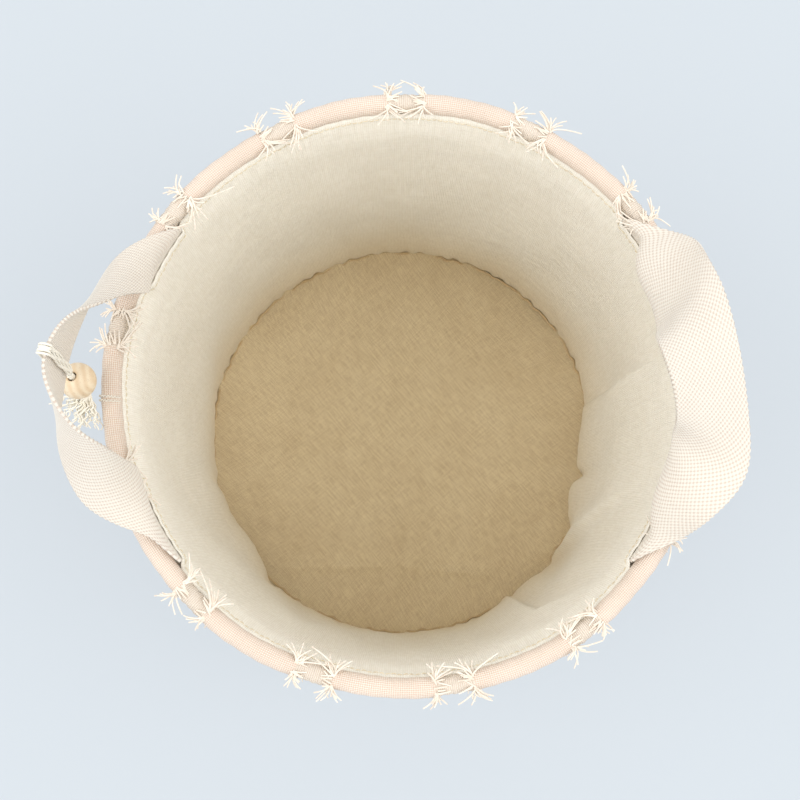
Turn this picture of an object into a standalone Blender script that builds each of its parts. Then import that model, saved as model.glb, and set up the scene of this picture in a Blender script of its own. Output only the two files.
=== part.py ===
"""Round fabric storage bin with two webbing handles and a bead tassel.

Metres, +Z up. The origin is the centre of the underside, and the handles stand at -X and +X.
The wall is a sandwich: a striped outer cover, a stiff felt core and a loose linen lining. The
cover is folded over a hoop of cord at the rim. Each handle is a strip of webbing whose two ends
are sewn in between the lining and the rolled rim.
"""

import math

import bmesh
import bpy
from mathutils import Matrix, Vector

# ---- driving dimensions ---------------------------------------------------------------------
BIN_HEIGHT = 0.350  # underside to the top of the rolled rim
RIM_DIAMETER = 0.341  # outside of the rolled rim
ROLL_DIAMETER = 0.0122  # the rolled rim in section
BASE_FLARE = 0.002  # the wall's radius is this much more at the base than at the rim
COVER_THICKNESS = 0.0018  # striped cotton cover
CORE_THICKNESS = 0.0066  # felt core that keeps the wall upright
LINING_THICKNESS = 0.0010  # linen lining
ROLL_OVERHANG = 0.0030  # how far the rolled rim stands out past the cover
BOARD_THICKNESS = 0.0030  # base board
WEBBING_WIDTH = 0.050
WEBBING_THICKNESS = 0.0024
HANDLE_SPREAD = 0.150  # between the middles of a handle's two sewn ends, straight across
HANDLE_TAIL = 0.028  # length of webbing sewn in below the rim
HINGE_RISE = 0.012  # height above the rim at which the webbing starts to swing
HINGE_LEAN = 0.010  # the webbing leans this far outward between the lining and that height
BEAD_DIAMETER = 0.020
BEAD_HOLE_DIAMETER = 0.0052
TASSEL_CORD_DIAMETER = 0.0042
TASSEL_LENGTH = 0.016  # yarn skirt below the knot
SKIRT_WIDTH = 0.012  # yarn skirt across its free end
LOOP_CORD_DIAMETER = 0.0024
SEAM_ROLL_RADIUS = 0.0012  # puckered seam round the lining's floor
STITCH_RADIUS = 0.0005  # row of stitches under the rolled rim
STITCH_DROP = 0.003
PIPING_RADIUS = 0.0022  # cord that covers the seam round the underside
KNOT_RADIUS = 0.0034
LOOP_BEND_RADIUS = 0.0018  # the loop's lowest bend, round which the tassel swings
LOOP_DROP = 0.0025  # how far that bend hangs below where the loop would hug the webbing
BEAD_DROP = 0.0015  # from the top of the tassel's cord to the bead

CLEARANCE = 0.0003  # between pieces that touch
NEST_CLEARANCE = 0.0005  # between the nested round walls, more because they are many-sided
FLEX_GAP = 0.0020  # from the fold line at a handle's root to the webbing on each side of it
LOOP_GAP = 0.0006  # more room for the tassel's loop round the webbing, whose edges are wavy
SEGMENTS = 72

LEFT_SEAM_DEG = 181.5  # where the cover's two panels meet
RIGHT_SEAM_DEG = 356.0
SEAM_WIDTH = 0.006
SEAM_THICKNESS = 0.0012
TASSEL_PLACE = 0.435  # how far along the left handle the tassel is tied, from its back end
CORD_WAY = (0.14, -0.14, -0.98)  # the way the tassel's cord and bead hang
SKIRT_WAY = (-0.34, -0.82, -0.46)  # the way its yarns lie over the rolled rim

# The free webbing, station by station from a handle's back end to its front end. Each station
# gives its middle: outward from a curve that starts and ends on the fold line and bows out as far
# as the rim does, along the fold line as a share of half the distance between the ends, and
# upward from it. It then gives the way across the webbing, from the edge nearer the handle's
# middle to the other edge, as outward, backward and upward parts.
LEFT_STATIONS = (
    (0.000, 0.83, 0.000, 0.00, 1.00, 0.00),
    (0.0048, 0.62, 0.026, 0.34, 0.55, -0.76),
    (0.0066, 0.28, 0.041, 0.12, 0.00, -0.99),
    (0.0081, -0.07, 0.050, 0.06, -0.10, -0.99),
    (0.0092, -0.43, 0.045, 0.34, -0.18, -0.92),
    (0.0063, -0.70, 0.029, 0.42, -0.55, -0.72),
    (0.000, -0.83, 0.000, 0.00, -1.00, 0.00),
)
RIGHT_STATIONS = (
    (0.000, 0.83, 0.000, 0.00, 1.00, 0.00),
    (-0.0138, 0.58, 0.028, 0.54, 0.84, 0.00),
    (-0.0209, 0.35, 0.048, 0.80, 0.52, -0.30),
    (-0.0200, 0.02, 0.053, 0.84, 0.25, -0.48),
    (-0.0118, -0.31, 0.044, 0.86, 0.00, -0.50),
    (-0.0026, -0.56, 0.025, 0.80, -0.54, -0.26),
    (0.000, -0.83, 0.000, 0.00, -1.00, 0.00),
)

# ---- sizes that follow ----------------------------------------------------------------------
ROLL_RADIUS = ROLL_DIAMETER / 2
ROLL_CENTRE_RADIUS = RIM_DIAMETER / 2 - ROLL_RADIUS
ROLL_CENTRE_Z = BIN_HEIGHT - ROLL_RADIUS
ROLL_BOTTOM_Z = BIN_HEIGHT - ROLL_DIAMETER
COVER_RADIUS = RIM_DIAMETER / 2 - ROLL_OVERHANG
CORE_RADIUS = COVER_RADIUS - COVER_THICKNESS - NEST_CLEARANCE
ROLL_INNER_RADIUS = ROLL_CENTRE_RADIUS - ROLL_RADIUS
CORE_INNER_RADIUS = CORE_RADIUS - CORE_THICKNESS
TAIL_INSET = NEST_CLEARANCE + WEBBING_THICKNESS / 2  # to the middle of the sewn-in webbing
TAIL_LOW_RADIUS = CORE_INNER_RADIUS - TAIL_INSET  # against the core
TAIL_RADIUS = min(CORE_INNER_RADIUS, ROLL_INNER_RADIUS) - TAIL_INSET  # where it passes the roll
LINING_RADIUS = TAIL_RADIUS - TAIL_INSET  # at the rim, inside the webbing
LINING_FOOT_RADIUS = CORE_INNER_RADIUS + BASE_FLARE - NEST_CLEARANCE  # at the base
BASE_TOP = COVER_THICKNESS
BOARD_BOTTOM = BASE_TOP + CLEARANCE
BOARD_TOP = BOARD_BOTTOM + BOARD_THICKNESS
FLOOR_BOTTOM = BOARD_TOP + CLEARANCE
FLOOR_TOP = FLOOR_BOTTOM + LINING_THICKNESS
PIPING_CENTRE_RADIUS = COVER_RADIUS + BASE_FLARE - PIPING_RADIUS
COVER_BOTTOM = 2 * PIPING_RADIUS + 2 * CLEARANCE
BASE_RADIUS = PIPING_CENTRE_RADIUS - PIPING_RADIUS - NEST_CLEARANCE
HINGE_OUT = math.sqrt(TAIL_RADIUS**2 - (HANDLE_SPREAD / 2) ** 2) + HINGE_LEAN
HINGE_Z = BIN_HEIGHT + HINGE_RISE
HANDLE_BOW = RIM_DIAMETER / 2 - HINGE_OUT


# ---- tools ----------------------------------------------------------------------------------
def cleared_collection(name):
    for old in list(bpy.data.objects):
        bpy.data.objects.remove(old, do_unlink=True)
    collection = bpy.data.collections.new(name)
    bpy.context.scene.collection.children.link(collection)
    return collection


def finish_material(name, colour, roughness, metallic=0.0):
    material = bpy.data.materials.new(name)
    material.use_nodes = True
    shader = material.node_tree.nodes["Principled BSDF"]
    shader.inputs["Base Color"].default_value = (*colour, 1.0)
    shader.inputs["Roughness"].default_value = roughness
    shader.inputs["Metallic"].default_value = metallic
    return material


def settle(obj, name, material, parent=None):
    """Name the object, give it its material, put it in the bin's collection and parent it."""
    obj.name = name
    obj.data.name = name
    obj.data.materials.append(material)
    for old in list(obj.users_collection):
        old.objects.unlink(obj)
    BIN.objects.link(obj)
    if parent is not None:
        obj.parent = parent
        obj.matrix_parent_inverse = Matrix.Translation(-parent.location)
    if obj.type == "MESH":
        obj.data.shade_smooth()
        obj.data.set_sharp_from_angle(angle=math.radians(40))
    return obj


def turned(name, profile, material):
    """A ring: a closed section at +X, clockwise seen from the front, screwed round Z."""
    mesh = bpy.data.meshes.new(name)
    shape = bmesh.new()
    corners = [shape.verts.new((radius, 0.0, z)) for radius, z in profile]
    for here, after in zip(corners, corners[1:] + corners[:1]):
        shape.edges.new((here, after))
    shape.to_mesh(mesh)
    shape.free()
    obj = bpy.data.objects.new(name, mesh)
    BIN.objects.link(obj)
    screw = obj.modifiers.new("turn", "SCREW")
    screw.steps = screw.render_steps = SEGMENTS
    screw.use_merge_vertices = True
    screw.merge_threshold = 0.00001
    return settle(obj, name, material)


def wall_section(top_outer, foot_outer, thickness, bottom, top):
    """A wall's section, whose foot may stand further out than its top."""
    return (
        (top_outer - thickness, top),
        (top_outer, top),
        (foot_outer, bottom),
        (foot_outer - thickness, bottom),
    )


def disc(name, radius, bottom, top, material):
    bpy.ops.mesh.primitive_cylinder_add(
        vertices=SEGMENTS, radius=radius, depth=top - bottom, location=(0, 0, (top + bottom) / 2)
    )
    return settle(bpy.context.object, name, material)


def ring(name, radius, section_radius, z, material, sides=8):
    bpy.ops.mesh.primitive_torus_add(
        major_radius=radius,
        minor_radius=section_radius,
        major_segments=SEGMENTS,
        minor_segments=sides,
        location=(0, 0, z),
    )
    return settle(bpy.context.object, name, material)


def sheet(name, across, along, place, thickness, material, parent=None):
    """A grid whose corners go to place(u, v), u along it and v across it, given its thickness."""
    bpy.ops.mesh.primitive_grid_add(x_subdivisions=along, y_subdivisions=across, size=1.0)
    obj = bpy.context.object
    for corner in obj.data.vertices:
        corner.co = place(corner.co.x + 0.5, corner.co.y + 0.5)
    wall = obj.modifiers.new("thickness", "SOLIDIFY")
    wall.thickness = thickness
    wall.offset = 0.0
    return settle(obj, name, material, parent)


def through(points, share):
    """The point at this share of the way along a smooth curve through the points."""
    reach = share * (len(points) - 1)
    index = min(int(reach), len(points) - 2)
    t = reach - index
    before = points[index - 1] if index > 0 else 2 * points[0] - points[1]
    start, end = points[index], points[index + 1]
    after = points[index + 2] if index + 2 < len(points) else 2 * points[-1] - points[-2]
    return 0.5 * (
        2 * start
        + (end - before) * t
        + (2 * before - 5 * start + 4 * end - after) * t**2
        + (3 * start - before - 3 * end + after) * t**3
    )


def on_rim(angle, radius, z):
    return Vector((radius * math.cos(angle), radius * math.sin(angle), z))


# ---- the bin --------------------------------------------------------------------------------
def make_cover():
    for name, start, end in (
        ("cover_panel_back", RIGHT_SEAM_DEG - 360, LEFT_SEAM_DEG),
        ("cover_panel_front", LEFT_SEAM_DEG, RIGHT_SEAM_DEG),
    ):
        allowance = CLEARANCE / COVER_RADIUS
        first, last = math.radians(start) + allowance, math.radians(end) - allowance

        def place(u, v, first=first, last=last):
            bottom, top = COVER_BOTTOM, ROLL_BOTTOM_Z - CLEARANCE
            radius = COVER_RADIUS - COVER_THICKNESS / 2 + BASE_FLARE * (1 - v)
            return on_rim(first + (last - first) * u, radius, bottom + (top - bottom) * v)

        sheet(name, 2, SEGMENTS // 2, place, COVER_THICKNESS, BLUSH)
    for name, degrees in (("side_seam_left", LEFT_SEAM_DEG), ("side_seam_right", RIGHT_SEAM_DEG)):
        half = SEAM_WIDTH / 2 / COVER_RADIUS

        def place(u, v, degrees=degrees, half=half):
            bottom, top = COVER_BOTTOM, ROLL_BOTTOM_Z - 2 * CLEARANCE
            radius = COVER_RADIUS + NEST_CLEARANCE + SEAM_THICKNESS / 2 + BASE_FLARE * (1 - v)
            turn = math.radians(degrees) + half * (2 * u - 1)
            return on_rim(turn, radius, bottom + (top - bottom) * v)

        sheet(name, 2, 3, place, SEAM_THICKNESS, THREAD)
    disc("base_cover", BASE_RADIUS, 0.0, BASE_TOP, BLUSH)
    ring("base_piping", PIPING_CENTRE_RADIUS, PIPING_RADIUS, PIPING_RADIUS + CLEARANCE, CREAM)


def make_core():
    foot = CORE_RADIUS + BASE_FLARE
    top = ROLL_BOTTOM_Z - CLEARANCE
    section = wall_section(CORE_RADIUS, foot, CORE_THICKNESS, COVER_BOTTOM, top)
    turned("wall_core", section, FELT)
    disc("base_board", LINING_FOOT_RADIUS, BOARD_BOTTOM, BOARD_TOP, BOARD)


def make_lining():
    section = wall_section(
        LINING_RADIUS,
        LINING_FOOT_RADIUS,
        LINING_THICKNESS,
        FLOOR_TOP + CLEARANCE,
        ROLL_BOTTOM_Z + ROLL_RADIUS,
    )
    turned("lining_wall", section, LINEN)
    disc("lining_floor", LINING_FOOT_RADIUS, FLOOR_BOTTOM, FLOOR_TOP, MELANGE)
    seam_centre = LINING_FOOT_RADIUS - LINING_THICKNESS - NEST_CLEARANCE - SEAM_ROLL_RADIUS
    seam_z = FLOOR_TOP + CLEARANCE + SEAM_ROLL_RADIUS
    ring("lining_floor_seam", seam_centre, SEAM_ROLL_RADIUS, seam_z, LINEN, 6)


def make_rim():
    """The cover folded over its cord: a C in section, open where it is stitched shut below."""
    opening, steps = math.radians(28), 12
    outer, inner = ROLL_RADIUS, ROLL_RADIUS - COVER_THICKNESS
    turns = [opening + (2 * math.pi - 2 * opening) * step / steps for step in range(steps + 1)]

    def at(radius, turn):
        return (ROLL_CENTRE_RADIUS - radius * math.sin(turn), ROLL_CENTRE_Z - radius * math.cos(turn))

    section = [at(outer, turn) for turn in turns] + [at(inner, turn) for turn in reversed(turns)]
    turned("rim_roll", section, BLUSH)
    ring("rim_cord", ROLL_CENTRE_RADIUS, inner - CLEARANCE, ROLL_CENTRE_Z, COTTON)
    stitch_centre = LINING_RADIUS - LINING_THICKNESS - NEST_CLEARANCE - STITCH_RADIUS
    ring("rim_stitching", stitch_centre, STITCH_RADIUS, ROLL_BOTTOM_Z - STITCH_DROP, THREAD, 5)


# ---- the handles ----------------------------------------------------------------------------
def handle_point(side, out, along, up):
    """A point by a handle: outward from the bin's axis, towards the back, and up."""
    return Vector((side * out, along, up))


def station_rows(side, stations):
    """Middles of the free webbing and the ways across it, both as lists of points."""
    middles, ways = [], []
    end_share = stations[0][1]
    for out, share, rise, way_out, way_along, way_rise in stations:
        bow = HANDLE_BOW * (1 - (share / end_share) ** 2)
        along, up = share * HANDLE_SPREAD / 2, HINGE_Z + rise
        middles.append(handle_point(side, HINGE_OUT + bow + out, along, up))
        ways.append(handle_point(side, way_out, way_along, way_rise))
    return middles, ways


def webbing_row(side, stations, share):
    """The webbing at this share of its length: its middle, and the unit way across it."""
    middles, ways = station_rows(side, stations)
    return through(middles, share), through(ways, share).normalized()


def make_handle(name, side, stations):
    pivot = bpy.data.objects.new(name + "_pivot", None)
    pivot.location = handle_point(side, HINGE_OUT, 0.0, HINGE_Z)
    BIN.objects.link(pivot)
    middles = station_rows(side, stations)[0]
    length = sum((after - here).length for here, after in zip(middles, middles[1:]))
    gap = FLEX_GAP / length

    def place(u, v):
        middle, way = webbing_row(side, stations, gap + (1 - 2 * gap) * u)
        return middle + way * WEBBING_WIDTH * (v - 0.5)

    sheet(name + "_webbing", 4, 36, place, WEBBING_THICKNESS, IVORY, pivot)
    for end, sign in (("back", 1), ("front", -1)):
        make_handle_end(f"{name}_end_{end}", side, sign, stations)
    return pivot


def make_handle_end(name, side, sign, stations):
    """The fixed end: sewn in behind the lining, up past the roll, to the fold line."""
    middle_turn = math.asin(HANDLE_SPREAD / 2 / TAIL_RADIUS)
    half_turn = WEBBING_WIDTH / 2 / TAIL_RADIUS
    row = stations[0] if sign > 0 else stations[-1]
    fold = handle_point(side, HINGE_OUT, row[1] * HANDLE_SPREAD / 2, HINGE_Z)
    levels = (
        (TAIL_LOW_RADIUS, BIN_HEIGHT - HANDLE_TAIL),
        (TAIL_RADIUS, ROLL_BOTTOM_Z),
        (TAIL_RADIUS, ROLL_CENTRE_Z),
        (TAIL_RADIUS, BIN_HEIGHT - CLEARANCE),
    )

    def place(u, v):
        turn = middle_turn + half_turn * (2 * v - 1)
        out, along = math.cos(turn), sign * math.sin(turn)
        seam = [handle_point(side, radius * out, radius * along, z) for radius, z in levels]
        rim = fold + Vector((0.0, sign * WEBBING_WIDTH * (v - 0.5), 0.0))
        stop = seam[-1].lerp(rim, 1 - FLEX_GAP / (rim - seam[-1]).length)
        route = seam + [seam[-1].lerp(stop, 0.5), stop]
        reach = u * (len(route) - 1)
        index = min(int(reach + 1e-6), len(route) - 2)
        return route[index].lerp(route[index + 1], reach - index)

    sheet(name, 6, 5, place, WEBBING_THICKNESS, IVORY)


# ---- the tassel -----------------------------------------------------------------------------
def along_axis(obj, start, axis):
    """Put an object that was made along its own Z at `start`, with its Z along `axis`."""
    turn = axis.to_track_quat("Z", "Y").to_matrix().to_4x4()
    obj.data.transform(Matrix.Translation(start) @ turn)
    return obj


def make_tassel(handle_pivot):
    middle, way = webbing_row(-1, LEFT_STATIONS, TASSEL_PLACE)
    ahead, _ = webbing_row(-1, LEFT_STATIONS, TASSEL_PLACE + 0.01)
    forward = (ahead - middle).normalized()
    proud = forward.cross(way).normalized()
    half_width = WEBBING_WIDTH / 2 + CLEARANCE + LOOP_GAP + LOOP_CORD_DIAMETER / 2
    half_depth = WEBBING_THICKNESS / 2 + CLEARANCE + LOOP_GAP + LOOP_CORD_DIAMETER / 2

    loop = bpy.data.curves.new("tassel_loop", "CURVE")
    loop.dimensions = "3D"
    loop.bevel_depth = LOOP_CORD_DIAMETER / 2
    loop.bevel_resolution = 2
    route = loop.splines.new("POLY")
    corner = half_depth / 2
    bend = half_width + LOOP_DROP - LOOP_BEND_RADIUS
    corners = [(half_width - half_depth, half_depth)]
    for degrees in (70, 35, 0, -35, -70):
        turn = math.radians(degrees)
        reach, rise = LOOP_BEND_RADIUS * math.cos(turn), LOOP_BEND_RADIUS * math.sin(turn)
        corners.append((bend + reach, rise))
    corners += [
        (half_width - half_depth, -half_depth),
        (-half_width + corner, -half_depth),
        (-half_width, -half_depth + corner),
        (-half_width, half_depth - corner),
        (-half_width + corner, half_depth),
    ]
    route.points.add(len(corners) - 1)
    for point, (over, out) in zip(route.points, corners):
        point.co = (*(middle + way * over + proud * out), 1.0)
    route.use_cyclic_u = True
    loop_object = bpy.data.objects.new("tassel_loop", loop)
    BIN.objects.link(loop_object)
    settle(loop_object, "tassel_loop", COTTON, handle_pivot)

    pivot = bpy.data.objects.new("tassel_pivot", None)
    pivot.location = middle + way * bend
    BIN.objects.link(pivot)

    down = Vector(CORD_WAY).normalized()
    top = pivot.location + down * (LOOP_BEND_RADIUS + LOOP_CORD_DIAMETER / 2 + CLEARANCE)
    bead_middle = top + down * (BEAD_DROP + BEAD_DIAMETER / 2)
    cord_length = BEAD_DIAMETER + BEAD_DROP
    bpy.ops.mesh.primitive_cylinder_add(
        vertices=16, radius=TASSEL_CORD_DIAMETER / 2, depth=cord_length
    )
    cord = bpy.context.object
    along_axis(cord, top + down * (cord_length / 2), down)
    settle(cord, "tassel_cord", COTTON, pivot)

    along_axis(make_bead(pivot), bead_middle, down)

    knot_middle = top + down * (cord_length + CLEARANCE + KNOT_RADIUS)
    bpy.ops.mesh.primitive_uv_sphere_add(segments=16, ring_count=8, radius=KNOT_RADIUS)
    along_axis(bpy.context.object, knot_middle, down)
    settle(bpy.context.object, "tassel_knot", COTTON, pivot)

    drape = Vector(SKIRT_WAY).normalized()
    bpy.ops.mesh.primitive_cone_add(
        vertices=16,
        radius1=TASSEL_CORD_DIAMETER / 2,
        radius2=SKIRT_WIDTH / 2,
        depth=TASSEL_LENGTH,
        end_fill_type="NGON",
    )
    skirt = bpy.context.object
    along_axis(skirt, knot_middle + drape * (KNOT_RADIUS + CLEARANCE + TASSEL_LENGTH / 2), drape)
    settle(skirt, "tassel_skirt", COTTON, pivot)
    return pivot


def make_bead(pivot):
    """A drilled ball, turned round its own Z."""
    ball, hole, steps = BEAD_DIAMETER / 2, BEAD_HOLE_DIAMETER / 2, 12
    first = math.asin(hole / ball)
    turns = [first + (math.pi - 2 * first) * step / steps for step in range(steps + 1)]
    mesh = bpy.data.meshes.new("bead")
    shape = bmesh.new()
    outline = [shape.verts.new((ball * math.sin(turn), 0.0, ball * math.cos(turn))) for turn in turns]
    for here, after in zip(outline, outline[1:] + outline[:1]):
        shape.edges.new((here, after))
    bmesh.ops.spin(
        shape,
        geom=shape.verts[:] + shape.edges[:],
        cent=(0, 0, 0),
        axis=(0, 0, 1),
        angle=2 * math.pi,
        steps=24,
        use_merge=True,
    )
    bmesh.ops.remove_doubles(shape, verts=shape.verts[:], dist=0.00001)
    bmesh.ops.recalc_face_normals(shape, faces=shape.faces[:])
    shape.to_mesh(mesh)
    shape.free()
    bead = bpy.data.objects.new("bead", mesh)
    BIN.objects.link(bead)
    return settle(bead, "bead", BEECH, pivot)


# ---- build ----------------------------------------------------------------------------------
BIN = cleared_collection("fabric_storage_bin")
BLUSH = finish_material("blush_cotton", (0.80, 0.66, 0.56), 0.9)
CREAM = finish_material("cream_cotton", (0.84, 0.77, 0.66), 0.9)
IVORY = finish_material("ivory_webbing", (0.90, 0.85, 0.76), 0.85)
LINEN = finish_material("lining_linen", (0.72, 0.66, 0.52), 0.95)
MELANGE = finish_material("floor_melange", (0.48, 0.36, 0.21), 0.95)
COTTON = finish_material("natural_cotton", (0.86, 0.80, 0.68), 0.9)
THREAD = finish_material("sewing_thread", (0.85, 0.78, 0.62), 0.8)
FELT = finish_material("core_felt", (0.60, 0.58, 0.54), 1.0)
BOARD = finish_material("grey_board", (0.35, 0.32, 0.28), 0.9)
BEECH = finish_material("beech_wood", (0.76, 0.60, 0.40), 0.5)

make_cover()
make_core()
make_lining()
make_rim()
left_pivot = make_handle("left_handle", -1, LEFT_STATIONS)
make_handle("right_handle", 1, RIGHT_STATIONS)
make_tassel(left_pivot)
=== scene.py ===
# %% [markdown]
# # Round fabric storage bin
# A soft bin is a sandwich of cloth: a striped outer cover, a felt core that keeps it standing, and
# a loose lining. The solid model gives every piece its place, and this file gives each one its
# cloth, yarn or wood. It starts by loading that model.

# %% The solid model
import math

import bpy
import numpy as np
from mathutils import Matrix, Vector


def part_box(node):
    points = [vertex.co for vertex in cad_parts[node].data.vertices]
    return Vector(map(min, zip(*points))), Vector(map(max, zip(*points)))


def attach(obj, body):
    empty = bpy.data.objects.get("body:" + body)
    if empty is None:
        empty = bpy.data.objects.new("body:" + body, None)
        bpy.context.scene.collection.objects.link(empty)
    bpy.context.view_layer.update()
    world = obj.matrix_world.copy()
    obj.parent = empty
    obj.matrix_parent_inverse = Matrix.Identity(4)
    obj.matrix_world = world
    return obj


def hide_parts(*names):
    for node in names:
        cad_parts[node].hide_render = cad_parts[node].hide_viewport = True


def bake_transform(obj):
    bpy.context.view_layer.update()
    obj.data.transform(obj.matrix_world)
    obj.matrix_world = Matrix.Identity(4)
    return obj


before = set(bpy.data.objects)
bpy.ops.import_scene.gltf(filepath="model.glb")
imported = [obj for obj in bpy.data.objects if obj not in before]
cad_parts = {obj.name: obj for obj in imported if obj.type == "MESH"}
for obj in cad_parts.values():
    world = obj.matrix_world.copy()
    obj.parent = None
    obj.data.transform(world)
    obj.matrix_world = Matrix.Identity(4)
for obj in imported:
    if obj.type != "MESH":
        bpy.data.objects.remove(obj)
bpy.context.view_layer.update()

chance = np.random.default_rng(7)

# %% [markdown]
# ## Camera
# The bin is seen from above, a little in front of its axis, so the lined wall opens up like a bowl.
# The camera comes first, because every piece is judged through it.

# %% Camera
lens = bpy.data.cameras.new("overhead")
lens.sensor_width = 36
lens.lens = 55.1
camera = bpy.data.objects.new("overhead", lens)
camera.location = (-0.0058, -0.0875, 1.0234)
camera.rotation_euler = (math.radians(6.77), math.radians(-0.21), 0)
bpy.context.scene.collection.objects.link(camera)
bpy.context.scene.camera = camera
print("camera", round(camera.location.z, 3), "m up with a", round(lens.lens, 1), "mm lens")

# %% [markdown]
# ## Patterns as sums
# Cloth needs patterns that repeat at a real size, and in Blender those are chains of Math nodes.
# Written as sums on sockets they stay readable, so one small class wraps a socket and adds the node
# that each operator stands for. Any other node comes from its one method, node().

# %% Sockets that take part in sums
class Wire:
    """A node's output. An operator on it adds a Math node, and node() adds any other node."""

    def __init__(self, tree, socket=None):
        self.tree = tree
        self.socket = socket

    def node(self, kind, settings=None, inputs=None, output=0):
        made = self.tree.nodes.new(kind)
        for name, value in (settings or {}).items():
            setattr(made, name, value)
        for name, value in (inputs or {}).items():
            if isinstance(value, Wire):
                self.tree.links.new(value.socket, made.inputs[name])
            else:
                made.inputs[name].default_value = value
        return Wire(self.tree, made.outputs[output])

    def sum(self, operation, *values):
        return self.node("ShaderNodeMath", {"operation": operation}, dict(enumerate(values)))

    def __add__(self, other):
        return self.sum("ADD", self, other)

    def __sub__(self, other):
        return self.sum("SUBTRACT", self, other)

    def __rsub__(self, other):
        return self.sum("SUBTRACT", other, self)

    def __mul__(self, other):
        return self.sum("MULTIPLY", self, other)

    def __truediv__(self, other):
        return self.sum("DIVIDE", self, other)

    __radd__ = __add__
    __rmul__ = __mul__

    def wave(self):
        """0 to 1 and back once for each whole number."""
        return self.sum("COSINE", self * (2 * math.pi)) * -0.5 + 0.5

    def between(self, low, high):
        """0 below low, 1 above high, and smooth between them."""
        return self.node(
            "ShaderNodeMapRange",
            {"interpolation_type": "SMOOTHSTEP"},
            {"Value": self, "From Min": low, "From Max": high},
        )

    def split(self, axis):
        return self.node("ShaderNodeSeparateXYZ", None, {"Vector": self}, axis)

    def stretched(self, x, y, z, turn=0.0):
        return self.node(
            "ShaderNodeMapping", None, {"Vector": self, "Scale": (x, y, z), "Rotation": (0, 0, turn)}
        )

    def noise(self, scale, detail=2.0, roughness=0.5):
        sockets = {"Vector": self, "Scale": scale, "Detail": detail, "Roughness": roughness}
        return self.node("ShaderNodeTexNoise", None, sockets)

    def blend(self, low, high):
        """The colour low where this is 0 and high where it is 1."""
        low = low if isinstance(low, Wire) else (*low, 1.0)
        high = high if isinstance(high, Wire) else (*high, 1.0)
        return self.node(
            "ShaderNodeMix", {"data_type": "RGBA"}, {0: self, 6: low, 7: high}, output=2
        )

    def tint(self, colour, filter_colour, share=None):
        """The colour seen through a filter, which is as strong as this wire or the share says."""
        settings = {"data_type": "RGBA", "blend_type": "MULTIPLY"}
        strength = self if share is None else share
        sockets = {0: strength, 6: colour, 7: filter_colour}
        return self.node("ShaderNodeMix", settings, sockets, output=2)


# %% [markdown]
# A finish is a Principled shader with a colour and a height. Every cloth here is matt and lets a
# little sheen show at its edges, so one function sets those and each cloth brings its own weave.

# %% A finish from a colour and a height
def start_finish(name):
    material = bpy.data.materials.new(name)
    material.use_nodes = True
    return material, Wire(material.node_tree)


def surface(wire, kind):
    """Where the pattern is read: UV in metres on cloth and cords, Object on solids."""
    return wire.node("ShaderNodeTexCoord", None, None, {"UV": 2, "Object": 3}[kind])


def finish(material, wire, colour, height=None, depth=0.0003, roughness=0.9, sheen=0.25):
    shader = material.node_tree.nodes["Principled BSDF"]
    shader.inputs["Sheen Weight"].default_value = sheen
    shader.inputs["Sheen Roughness"].default_value = 0.6
    shader.inputs["Specular IOR Level"].default_value = 0.2
    if isinstance(roughness, Wire):
        wire.tree.links.new(roughness.socket, shader.inputs["Roughness"])
    else:
        shader.inputs["Roughness"].default_value = roughness
    wire.tree.links.new(colour.socket, shader.inputs["Base Color"])
    if height is not None:
        bump = wire.node(
            "ShaderNodeBump", None, {"Height": height, "Distance": depth, "Strength": 1.0}
        )
        wire.tree.links.new(bump.socket, shader.inputs["Normal"])
    return material


# %% [markdown]
# ## Floor and light
# A pale blue studio floor and a very soft, high light, so that the wall inside darkens by what its own
# depth hides from the sky, and by a painted warm shade along the lining's foot.

# %% Studio floor
def deselect():
    bpy.ops.object.select_all(action="DESELECT")


deselect()
bpy.ops.mesh.primitive_plane_add(size=60, location=(0, 0, 0))
studio_floor = bpy.context.object
studio_floor.name = "studio_floor"
pale = start_finish("pale_blue_paper")[0]
shader = pale.node_tree.nodes["Principled BSDF"]
shader.inputs["Base Color"].default_value = (0.36, 0.39, 0.40, 1)
shader.inputs["Roughness"].default_value = 1.0
shader.inputs["Specular IOR Level"].default_value = 0.0
shader.inputs["Emission Color"].default_value = (0.77, 0.85, 0.99, 1)
shader.inputs["Emission Strength"].default_value = 0.35
studio_floor.data.materials.append(pale)

# %% Studio light
bpy.context.scene.view_settings.view_transform = "Standard"
sky = bpy.data.worlds.new("soft_sky")
sky.use_nodes = True
sky.node_tree.nodes["Background"].inputs["Color"].default_value = (1.0, 0.99, 0.975, 1)
sky.node_tree.nodes["Background"].inputs["Strength"].default_value = 1.08
bpy.context.scene.world = sky
for side, place, power in (("right", (1.4, -0.3, 2.3), 15), ("left", (-1.4, -0.3, 2.3), 13)):
    panel = bpy.data.lights.new("soft_panel_" + side, "AREA")
    panel.shape = "DISK"
    panel.size = 1.6
    panel.energy = power
    panel_object = bpy.data.objects.new("soft_panel_" + side, panel)
    panel_object.location = place
    aim = Vector((0, 0, 0.25)) - panel_object.location
    panel_object.rotation_euler = aim.to_track_quat("-Z", "Y").to_euler()
    bpy.context.scene.collection.objects.link(panel_object)
    print("soft panel on the", side, "at", power, "W")

# %% [markdown]
# ## Sheets, cords and yarns
# Cloth is woven flat and then shaped, and the same is done here: a flat grid goes to its place
# corner by corner and is given its thickness. Cords and yarns are curves with a round section.

# %% Shaping helpers
def settle(piece, name, material, body="bin"):
    deselect()
    piece.select_set(True)
    bpy.context.view_layer.objects.active = piece
    piece.name = name
    piece.data.name = name
    piece.data.materials.clear()
    piece.data.materials.append(material)
    bpy.ops.object.shade_smooth()
    if body:
        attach(piece, body)
    print(name, len(piece.data.polygons), "faces")
    return piece


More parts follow.
